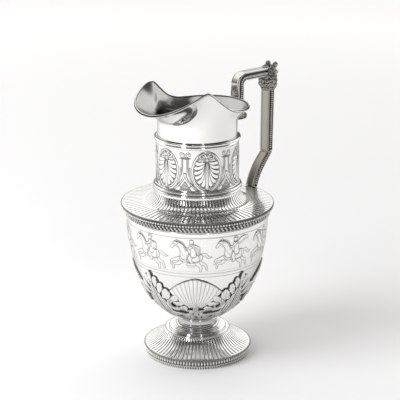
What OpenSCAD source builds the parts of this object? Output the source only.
// Silver water pitcher: a footed bowl with a fluted shoulder, a banded collar and a flaring
// mouth, and a square-cornered handle with a bearded mask.
// The body's axis is Z, the pitcher stands on z = 0, and the handle points along +X.

/* [Foot] */
// Height of the beaded border round the foot
foot_border_h = 10.4; // [8:0.2:12]
// Radius of the foot's border at its top edge
foot_r = 61; // [58:0.5:64]
// Height of the stepped rings where the foot meets the stem
foot_top_z = 26; // [24:0.5:28]

/* [Bowl] */
// Height of the bowl's floor
bowl_z = 47; // [46:0.5:48]
// Radius of the bowl at its top edge
bowl_r = 78.7; // [76:0.1:80]
// Height of the bowl's top edge
bowl_top_z = 165.3; // [160:0.1:168]
// Thickness of the silver sheet
sheet_t = 1.2; // [1:0.1:1.8]

/* [Shoulder and neck] */
// Radius of the shoulder's edge
shoulder_r = 85; // [83:0.5:87]
// Height of the shoulder's edge
shoulder_z = 177.6; // [175:0.2:180]
// Height of the double ring under the collar
neck_ring_z = 193.6; // [191:0.2:196]
// Radius of the decorated collar
collar_r = 46; // [45:0.2:47]
// Height of the ring above the collar
collar_top_z = 250.3; // [246:0.2:254]
// Radius of the plain upper neck
neck_r = 44; // [43:0.2:44.6]

/* [Mouth] */
// Height where the neck begins to flare
flare_z = 268; // [264:0.5:270]
// Radius of the wire that finishes the mouth
wire_r = 1.5; // [1.2:0.1:1.8]

/* [Handle] */
// Width of the handle across its side faces
handle_w = 13.2; // [11:0.2:15]
// Height of the handle's top face
handle_top_z = 313.5; // [312:0.1:315]
// Depth of the channel in each side face
channel_d = 1.2; // [0.8:0.1:1.6]
// Full height, to the tips of the mask's horns
full_h = 320; // [318:0.5:322]

/* [Hidden] */
$fn = 96;
eps = 0.01;

// Foot
base_ring_out = foot_r - 3.5;
base_ring_in = base_ring_out - 3.5;
base_ring_h = 2;
dome_out = foot_r - 0.7;
dome_in = 36.8;
step_ring_h = 2.4;
inner_ring_z = foot_top_z + step_ring_h;
inner_ring_h = 2.2;
inner_ring_r = 32.6;
stem_z = inner_ring_z + inner_ring_h;
bead_z = 41;
bead_h = 2.4;
calyx_z = bead_z + bead_h;
waist_r = 20.9;

// Bowl: one cubic curve from the floor's edge up to the top edge, in three bands
bowl_foot_r = 25;
bowl_steps = 26;
belly_z = 80;
frieze_z = 112.8;
bowl_ends = [[bowl_foot_r, bowl_z], [50, bowl_z + 5], [bowl_r - 0.2, 100], [bowl_r, bowl_top_z]];

// Ornament that lies on the bowl's lower half, four times round
ornament_n = 4;
ornament_step = 360 / ornament_n;
shell_out = 2.2;
leaf_out = 2.6;
curl_out = 3.8;
shell_apex_z = 113;
shell_side = [30.2, 94];
shell_neck = [5, 75];
shell_foot = [8.5, 55];
leaf_tip_z = 113.5;
leaf_side = [30.5, 76];
leaf_foot = [14.5, 50.5];
curl_r = 7.4;
curl_at = [20.8, 75.2];
reach = 100;

// Shoulder and neck
shoulder_in = 60;
shoulder_in_z = shoulder_z + 2.6;
flare_top_r = 47;
neck_ring_h = 6.9;
neck_ring_out = 49;
collar_z = neck_ring_z + neck_ring_h;
ring_in = 42.6;
top_ring_h = 3.3;
top_ring_out = 47.7;
upper_neck_z = collar_top_z + top_ring_h;

// Mouth: radius and height of the edge every 15 degrees, from the handle round to the lip
edge_step = 15;
edge_r = [55, 56.3, 56.7, 55.4, 52.7, 49.8, 49.4, 49.4, 52.7, 61.2, 68.4, 71.8, 72.4];
edge_z = [285, 284.2, 283.5, 283, 282.9, 284.4, 289.2, 298.6, 308, 302.5, 294, 287.6, 285.2];
turns = 96;
wall_steps = 12;
mouth_t = 1.3;
wire_sides = 12;

// Handle
side_y = handle_w / 2;
bar_t = 9.3;
post_x = edge_r[0] + wire_r + bar_t / 2;
post_foot_z = 267;
corner_r = 8.5;
arm_z = handle_top_z - bar_t / 2;
arm_end_x = 103;
rail_t = 1.7;
grip_top_z = 296;
grip_foot_z = 216.5;
grip_top = [105.4, 114.8];
grip_foot = [104.9, 113.2];
leg_out = [[113.2, grip_foot_z], [105.5, 206], [94.6, 197.5], [88, 176]];
leg_in = [[108, grip_foot_z], [98, 206], [88, 200], [81.3, 176]];
leg_steps = 14;
bead_strip_w = 2.4;
brow = [[106.5, 303, 8.5], [113, 303.5, 10], [117.5, 299, 9]];
beard = [[107, 294.8, 9.3], [114, 293.5, 8]];
horn_x = 115.5;
horn_y = 5.5;
horn_r = 2.9;

// A point on a cubic curve, and the whole curve
function bez(p, t) =
    pow(1 - t, 3) * p[0] + 3 * t * pow(1 - t, 2) * p[1]
    + 3 * t * t * (1 - t) * p[2] + pow(t, 3) * p[3];
function curve(p, n) = [for (i = [0:n]) bez(p, i / n)];
function line(a, b, n) = [for (i = [0:n]) a + (b - a) * i / n];
function reversed(p) = [for (i = [len(p) - 1:-1:0]) p[i]];

// The left-hand normal of a polyline at point i, and the polyline moved along it by d
function tangent(p, i) = p[min(i + 1, len(p) - 1)] - p[max(i - 1, 0)];
function normal(p, i) = let (v = tangent(p, i)) [-v[1], v[0]] / norm(v);
function moved(p, d) = [for (i = [0:len(p) - 1]) p[i] + d * normal(p, i)];
function band(p, d0, d1) = concat(moved(p, d0), reversed(moved(p, d1)));

// A smooth value between evenly spaced ones, mirrored at both ends
function mirrored(v, i) = v[i < 0 ? -i : i > len(v) - 1 ? 2 * (len(v) - 1) - i : i];
function smooth(v, s) =
    let (i = min(floor(s), len(v) - 2), t = s - i,
         a = mirrored(v, i - 1), b = mirrored(v, i), c = mirrored(v, i + 1), d = mirrored(v, i + 2))
    b + 0.5 * t * (c - a + t * (2 * a - 5 * b + 4 * c - d + t * (3 * (b - c) + d - a)));

// The mouth's wall above the cylinder, at angle phi from the handle: outer and inner points
function half_turn(phi) = phi > 180 ? 360 - phi : phi;
function edge_at(phi) =
    let (s = half_turn(phi) / edge_step) [smooth(edge_r, s), smooth(edge_z, s)];
function wall_ends(phi) =
    let (e = edge_at(phi), rise = e[1] - flare_z, out = e[0] - neck_r)
    [[neck_r, flare_z], [neck_r, flare_z + 0.45 * rise], e - [0.55 * out, 0.35 * rise], e];
function wall_line(phi) =
    concat([[neck_r, upper_neck_z]], curve(wall_ends(phi), wall_steps));
function lip_dir(phi) = let (w = wall_ends(phi), v = w[3] - w[2]) v / norm(v);
function around(p, phi) = [p[0] * cos(phi), p[0] * sin(phi), p[1]];

// Side faces of a closed tube made of rings of points, each ring with n points
function tube_faces(rings, n) = [
    for (i = [0:rings - 1], j = [0:n - 1])
        let (k = (i + 1) % rings, m = (j + 1) % n)
        each [[i * n + j, k * n + j, k * n + m], [i * n + j, k * n + m, i * n + m]]
];

bowl_line = curve(bowl_ends, bowl_steps);

// A sheet-metal shell turned about the axis, d0 and d1 measured outwards from the line
module turned_shell(p, d0, d1) {
    rotate_extrude() polygon(band(p, -d0, -d1));
}

// A moulding turned about the axis: a flat back and a row of half-round beads in front
module moulding(inner, outer, z, h, beads) {
    bead_h = h / beads;
    rotate_extrude() union() {
        translate([inner, z]) square([outer - inner - bead_h / 2, h]);
        for (i = [0:beads - 1])
            translate([outer - bead_h / 2, z + (i + 0.5) * bead_h]) circle(bead_h / 2, $fn = 24);
    }
}

module foot_base_ring() {
    color("silver") rotate_extrude()
        translate([base_ring_in, 0]) square([base_ring_out - base_ring_in, base_ring_h]);
}

module foot_border() {
    // rope row below, oval bead row above, between two plain edges
    color("darkgray") rotate_extrude() polygon([
        [base_ring_out, 0], [foot_r - 1.4, 0], [foot_r - 0.7, 0.8], [foot_r - 0.5, 3.4],
        [foot_r - 1, 4], [foot_r - 0.4, 4.6], [foot_r, 6], [foot_r, foot_border_h - 1.6],
        [foot_r - 0.5, foot_border_h], [base_ring_out, foot_border_h]
    ]);
}

module foot_dome() {
    ends = [[dome_out, foot_border_h], [dome_out - 10, foot_border_h + 2.6],
            [dome_in + 5, foot_top_z - 7.6], [dome_in, foot_top_z]];
    outer = curve(ends, 14);
    inner = [for (i = [0:14]) let (d = normal(outer, i) * sheet_t)
        i == 0 ? outer[0] - [sheet_t + 0.9, 0] : i == 14 ? outer[14] - [sheet_t, 0] : outer[i] + d];
    color("lightgray") rotate_extrude() polygon(concat(outer, reversed(inner)));
}

module foot_step_ring() {
    color("silver") moulding(inner_ring_r - 2.4, dome_in, foot_top_z, step_ring_h, 1);
}

module foot_inner_ring() {
    color("silver") moulding(inner_ring_r - 4, inner_ring_r, inner_ring_z, inner_ring_h, 1);
}

module foot_stem() {
    ends = [[inner_ring_r - 2.4, stem_z], [waist_r + 1.5, stem_z + 1.2],
            [waist_r - 0.6, stem_z + 4], [waist_r, bead_z]];
    outer = curve(ends, 12);
    inner = [for (i = [0:12]) outer[i] - [sheet_t, 0]];
    color("silver") rotate_extrude() polygon(concat(outer, reversed(inner)));
}

module stem_bead() {
    color("silver") moulding(waist_r - 4, waist_r + 1.6, bead_z, bead_h, 1);
}

module bowl_calyx() {
    color("silver") rotate_extrude() polygon([
        [waist_r - 6, calyx_z], [waist_r + 0.6, calyx_z], [waist_r + 2.8, calyx_z + 1.6],
        [waist_r + 3.6, calyx_z + 2.8], [bowl_foot_r - 0.4, bowl_z], [waist_r - 6, bowl_z]
    ]);
}

// The band of the raised bowl between two heights
module bowl_band(low, high) {
    inner = [for (i = [0:bowl_steps])
        i == bowl_steps ? bowl_line[i] - [sheet_t, 0] : bowl_line[i] + sheet_t * normal(bowl_line, i)];
    rotate_extrude() intersection() {
        polygon(concat([[0, bowl_z]], bowl_line, reversed(inner), [[0, bowl_z + sheet_t]]));
        translate([0, low]) square([reach, high - low]);
    }
}

module bowl_base() {
    color("gainsboro") bowl_band(bowl_z, belly_z);
}

module bowl_belly() {
    color("gainsboro") bowl_band(belly_z, frieze_z);
}

module bowl_frieze() {
    color("white") bowl_band(frieze_z, bowl_top_z);
}

// The layer of metal that stands d proud of the bowl, from its floor to the frieze
module bowl_layer(d) {
    turned_shell([for (p = bowl_line) if (p[1] > bowl_z + 0.5 && p[1] < 122) p], 0, d);
}

// An outline in width and height, driven outwards from the axis at each of the four angles
module outward(first) {
    for (i = [0:ornament_n - 1])
        rotate([0, 0, first + i * ornament_step]) rotate([90, 0, 90])
            linear_extrude(height = reach) children();
}

module curl_outlines() {
    for (s = [-1, 1])
        translate([s * curl_at[0], curl_at[1]]) circle(curl_r, $fn = 32);
}

// An outline on both sides of the middle, from the points of its right-hand half
module two_sided(half) {
    polygon(concat(half, [for (p = reversed(half)) [-p[0], p[1]]]));
}

module shell_outline() {
    two_sided([
        [0, shell_apex_z], [13, 108.5], [22, 102.8], shell_side, [21, 84.5], [13.5, 78.5], shell_neck,
        [shell_neck[0], 66.5], [shell_foot[0], 62], shell_foot
    ]);
}

module leaf_outline() {
    two_sided([
        [0, leaf_tip_z], [5, 108], [9, 102], [16, 98], [27, 92], [29.5, 84], leaf_side,
        [29.5, 66], [23, 58], leaf_foot
    ]);
}

module scallop_shells() {
    color("whitesmoke") difference() {
        intersection() {
            bowl_layer(shell_out);
            outward(ornament_step / 2) shell_outline();
        }
        outward(0) leaf_outline();
        outward(0) curl_outlines();
    }
}

module acanthus_leaves() {
    color("whitesmoke") difference() {
        intersection() {
            bowl_layer(leaf_out);
            outward(0) leaf_outline();
        }
        outward(0) curl_outlines();
    }
}

module acanthus_curls() {
    color("gainsboro") intersection() {
        bowl_layer(curl_out);
        outward(0) curl_outlines();
    }
}

module shoulder_border() {
    // scroll row below, bead row above, under a plain edge
    color("darkgray") rotate_extrude() polygon([
        [bowl_r - sheet_t, bowl_top_z], [bowl_r + 1.6, bowl_top_z], [bowl_r + 2, bowl_top_z + 0.8],
        [shoulder_r - 3, bowl_top_z + 6.6], [shoulder_r - 2.4, bowl_top_z + 7.2],
        [shoulder_r - 1.2, shoulder_z - 1.8], [shoulder_r, shoulder_z - 1.2],
        [shoulder_r, shoulder_z], [bowl_r - sheet_t, shoulder_z]
    ]);
}

module shoulder() {
    color("lightgray") rotate_extrude() polygon([
        [shoulder_r - 0.5, shoulder_z], [shoulder_in, shoulder_in_z],
        [shoulder_in, shoulder_in_z - sheet_t], [shoulder_r - 9, shoulder_z]
    ]);
}

module neck_flare() {
    ends = [[shoulder_in, shoulder_in_z - sheet_t], [shoulder_in, shoulder_in_z],
            [53, shoulder_in_z + 0.6], [flare_top_r + 0.4, shoulder_in_z + 5.4],
            [flare_top_r, neck_ring_z]];
    sweep = curve([ends[1], ends[2], ends[3], ends[4]], 10);
    inner = [for (i = [0:10]) let (d = normal(sweep, i) * sheet_t)
        i == 0 ? ends[0] - [sheet_t, 0] : i == 10 ? sweep[i] - [sheet_t, 0] : sweep[i] + d];
    color("silver") rotate_extrude() polygon(concat([ends[0]], sweep, reversed(inner)));
}

module neck_base_ring() {
    color("silver") moulding(ring_in, neck_ring_out, neck_ring_z, neck_ring_h, 2);
}

module neck_collar() {
    color("darkgray") rotate_extrude()
        translate([collar_r - sheet_t, collar_z]) square([sheet_t, collar_top_z - collar_z]);
}

module collar_top_ring() {
    color("silver") moulding(ring_in, top_ring_out, collar_top_z, top_ring_h, 1);
}

module upper_neck() {
    points_up = wall_steps + 2;
    ring_n = 2 * points_up;
    points = [
        for (i = [0:turns - 1])
            let (phi = i * 360 / turns, outer = wall_line(phi), lip = lip_dir(phi),
                 inner = [for (j = [0:points_up - 1])
                     let (d = j == 0 ? [-1, 0] : j == points_up - 1 ? [-lip[1], lip[0]]
                         : normal(outer, j))
                     outer[j] + mouth_t * d])
            each [for (p = concat(outer, reversed(inner))) around(p, phi)]
    ];
    color("whitesmoke") polyhedron(points, tube_faces(turns, ring_n), convexity = 6);
}

module rim_wire() {
    // a round wire with a flat seat, whose seat lies on the wall's edge
    seat = [[0, 0], [-mouth_t, 0]];
    round_part = [for (i = [0:wire_sides])
        let (a = 205 - i * 230 / wire_sides)
        [wire_r * cos(a) - mouth_t / 2, wire_r * (sin(a) + sin(25))]];
    section = concat(seat, round_part);
    points = [
        for (i = [0:turns - 1])
            let (phi = i * 360 / turns, e = edge_at(phi), up = lip_dir(phi), side = [up[1], -up[0]])
            each [for (s = section) around(e + side * s[0] + up * s[1], phi)]
    ];
    color("silver") polyhedron(points, tube_faces(turns, len(section)), convexity = 6);
}

// A flat shape in the handle's plane, centred on it and w thick
module in_plane(w, y = 0) {
    translate([0, y + w / 2, 0]) rotate([90, 0, 0]) linear_extrude(height = w) children();
}

// Centre line of the upper bar: up from the neck, round the corner and out to the mask
arm_line = concat(
    [[post_x, post_foot_z]],
    [for (i = [0:8]) let (a = 180 - i * 90 / 8)
        [post_x + corner_r * (1 + cos(a)), arm_z - corner_r * (1 - sin(a))]],
    [[arm_end_x, arm_z]]
);

module handle_arm() {
    color("silver") {
        in_plane(handle_w - 2 * channel_d) polygon(band(arm_line, -bar_t / 2, bar_t / 2));
        in_plane(handle_w) polygon(band(arm_line, bar_t / 2 - rail_t, bar_t / 2));
        in_plane(handle_w) polygon(band(arm_line, -bar_t / 2, -bar_t / 2 + rail_t));
    }
}

module handle_upper_scroll() {
    // foot of the upper bar: a bracket to the neck and a small outward roll
    roll_r = 3.8;
    color("silver") difference() {
        in_plane(handle_w - 1) union() {
            translate([post_x - bar_t / 2, post_foot_z - 6]) square([bar_t, 6]);
            translate([neck_r - 1, post_foot_z - 6]) square([post_x - neck_r - 1, 4]);
            translate([post_x + bar_t / 2 + 1.6, post_foot_z - 2.4]) circle(roll_r, $fn = 32);
        }
        cylinder(r = neck_r, h = full_h);
        in_plane(handle_w) polygon(band(arm_line, -bar_t / 2, bar_t / 2));
    }
}

module grip_outline(inset) {
    polygon([
        [grip_top[0] + inset, grip_top_z], [grip_top[1] - inset, grip_top_z],
        [grip_foot[1] - inset, grip_foot_z], [grip_foot[0] + inset, grip_foot_z]
    ]);
}

module handle_grip() {
    color("silver") difference() {
        in_plane(handle_w) grip_outline(0);
        for (s = [-1, 1])
            in_plane(channel_d + eps, s * (side_y - channel_d / 2 + eps)) difference() {
                grip_outline(rail_t);
                translate([grip_foot[0], grip_foot_z]) square([bar_t, rail_t]);
            }
    }
}

module handle_grip_scroll() {
    color("gray") translate([grip_foot[0] + 1.1, side_y, grip_foot_z - 1.1])
        rotate([90, 0, 0]) cylinder(r = 1.1, h = handle_w, $fn = 24);
}

module handle_leg() {
    outer = curve(leg_out, leg_steps);
    inner = curve(leg_in, leg_steps);
    core_out = [for (i = [0:leg_steps]) outer[i] + 0.22 * (inner[i] - outer[i])];
    core_in = [for (i = [0:leg_steps]) outer[i] + 0.78 * (inner[i] - outer[i])];
    color("silver") difference() {
        union() {
            in_plane(handle_w - 2 * channel_d) polygon(concat(outer, reversed(inner)));
            in_plane(handle_w) polygon(concat(outer, reversed(core_out)));
            in_plane(handle_w) polygon(concat(core_in, reversed(inner)));
        }
        // the leg stands on the sloping shoulder
        cylinder(r = shoulder_r + 10, h = shoulder_z);
        translate([0, 0, shoulder_z])
            cylinder(r1 = shoulder_r - 0.5, r2 = shoulder_in, h = shoulder_in_z - shoulder_z);
    }
}

// Rows of beads in one side's channels, drawn as plain strips
module bead_strips(side) {
    y = side * (side_y - channel_d / 2);
    outer = curve(leg_out, leg_steps);
    inner = curve(leg_in, leg_steps);
    row = [for (k = [0.26, 0.26 + 0.34])
        [for (i = [0:leg_steps - 2]) outer[i] + k * (inner[i] - outer[i])]];
    grip_x = [grip_top[1], grip_foot[1]] - [rail_t + 0.2, rail_t + 0.2];
    in_plane(channel_d, y) {
        polygon(band(arm_line, -bead_strip_w / 2 - 1.2, bead_strip_w / 2 - 1.2));
        polygon([
            [grip_x[0], grip_top_z], [grip_x[1], grip_foot_z + rail_t],
            [grip_x[1] - bead_strip_w, grip_foot_z + rail_t], [grip_x[0] - bead_strip_w, grip_top_z]
        ]);
        polygon(concat(row[0], reversed(row[1])));
    }
}

module handle_beads_near() {
    color("gray") bead_strips(-1);
}

module handle_beads_far() {
    color("gray") bead_strips(1);
}

// Balls in the handle's plane, each given by its two coordinates and its radius
module lumps(list) {
    for (b = list)
        translate([b[0], 0, b[1]]) sphere(b[2], $fn = 32);
}

module handle_mask() {
    // head with hair behind and a beard in front, fitted over the bar's corner
    color("lightgray") difference() {
        union() {
            hull() lumps(brow);
            hull() lumps(beard);
        }
        in_plane(handle_w) translate([arm_end_x - 30, arm_z - bar_t / 2]) square([30, bar_t]);
        in_plane(handle_w) grip_outline(0);
    }
}

module handle_horns() {
    // two short curled horns over the brow
    color("gray") difference() {
        for (s = [-1, 1])
            translate([horn_x, s * horn_y, full_h - horn_r]) {
                sphere(horn_r, $fn = 32);
                translate([0, 0, -9]) cylinder(r = horn_r - 0.5, h = 9, $fn = 32);
            }
        hull() lumps(brow);
    }
}

foot_base_ring();
foot_border();
foot_dome();
foot_step_ring();
foot_inner_ring();
foot_stem();
stem_bead();
bowl_calyx();
bowl_base();
bowl_belly();
bowl_frieze();
scallop_shells();
acanthus_leaves();
acanthus_curls();
shoulder_border();
shoulder();
neck_flare();
neck_base_ring();
neck_collar();
collar_top_ring();
upper_neck();
rim_wire();
handle_upper_scroll();
handle_arm();
handle_mask();
handle_horns();
handle_grip();
handle_grip_scroll();
handle_leg();
handle_beads_near();
handle_beads_far();
